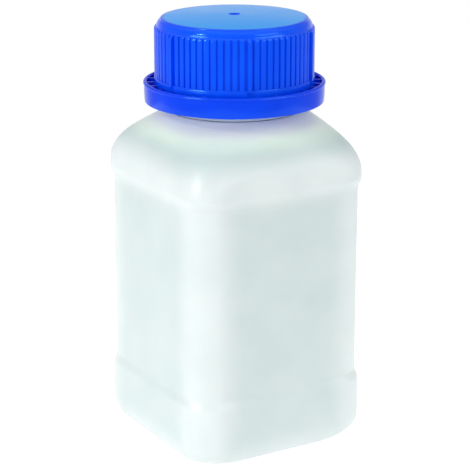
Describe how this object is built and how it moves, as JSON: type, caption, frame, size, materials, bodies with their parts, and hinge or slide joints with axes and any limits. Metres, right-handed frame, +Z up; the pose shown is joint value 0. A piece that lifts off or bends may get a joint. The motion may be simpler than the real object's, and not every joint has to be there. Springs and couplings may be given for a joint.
{
  "type": "reagent bottle",
  "caption": "Square wide-mouth reagent bottle in natural plastic, with a ribbed blue screw cap, a tamper ring on the neck and a sealing disc under the cap.",
  "frame": {"origin": "middle of the base, on the plane that the bottle stands on", "axes": "+Z up along the neck; -Y is the wide face turned to the viewer's right, -X the narrow-looking face on the viewer's left; the body is square, so all four faces are alike"},
  "size_m": [0.06, 0.06, 0.1303],
  "materials": {
    "natural_hdpe": "undyed blow-moulded polyethylene, milky and slightly see-through, satin",
    "blue_polypropylene": "saturated blue injection moulding, glossy",
    "foamed_polyethylene": "white closed-cell foam, matte"
  },
  "bodies": {
    "bottle": {"bottle": "natural_hdpe"},
    "seal": {"sealing_disc": "foamed_polyethylene"},
    "cap": {"screw_cap": "blue_polypropylene"},
    "ring": {"tamper_ring": "blue_polypropylene"}
  },
  "joints": [
    {"name": "cap_lift", "type": "slide", "parent": "bottle", "child": "seal", "axis": [0, 0, 1], "range_m": [0, 0.0241]},
    {"name": "cap_turn", "type": "hinge", "parent": "seal", "child": "cap", "pos_m": [0, 0, 0.11], "axis": [0, 0, 1], "range_deg": [0, 1440]},
    {"name": "ring_turn", "type": "hinge", "parent": "bottle", "child": "ring", "pos_m": [0, 0, 0.108], "axis": [0, 0, 1], "continuous": true}
  ],
  "couplings": [
    {"joint": "cap_lift", "follows": "cap_turn", "m_per_rad": 0.00095493}
  ]
}
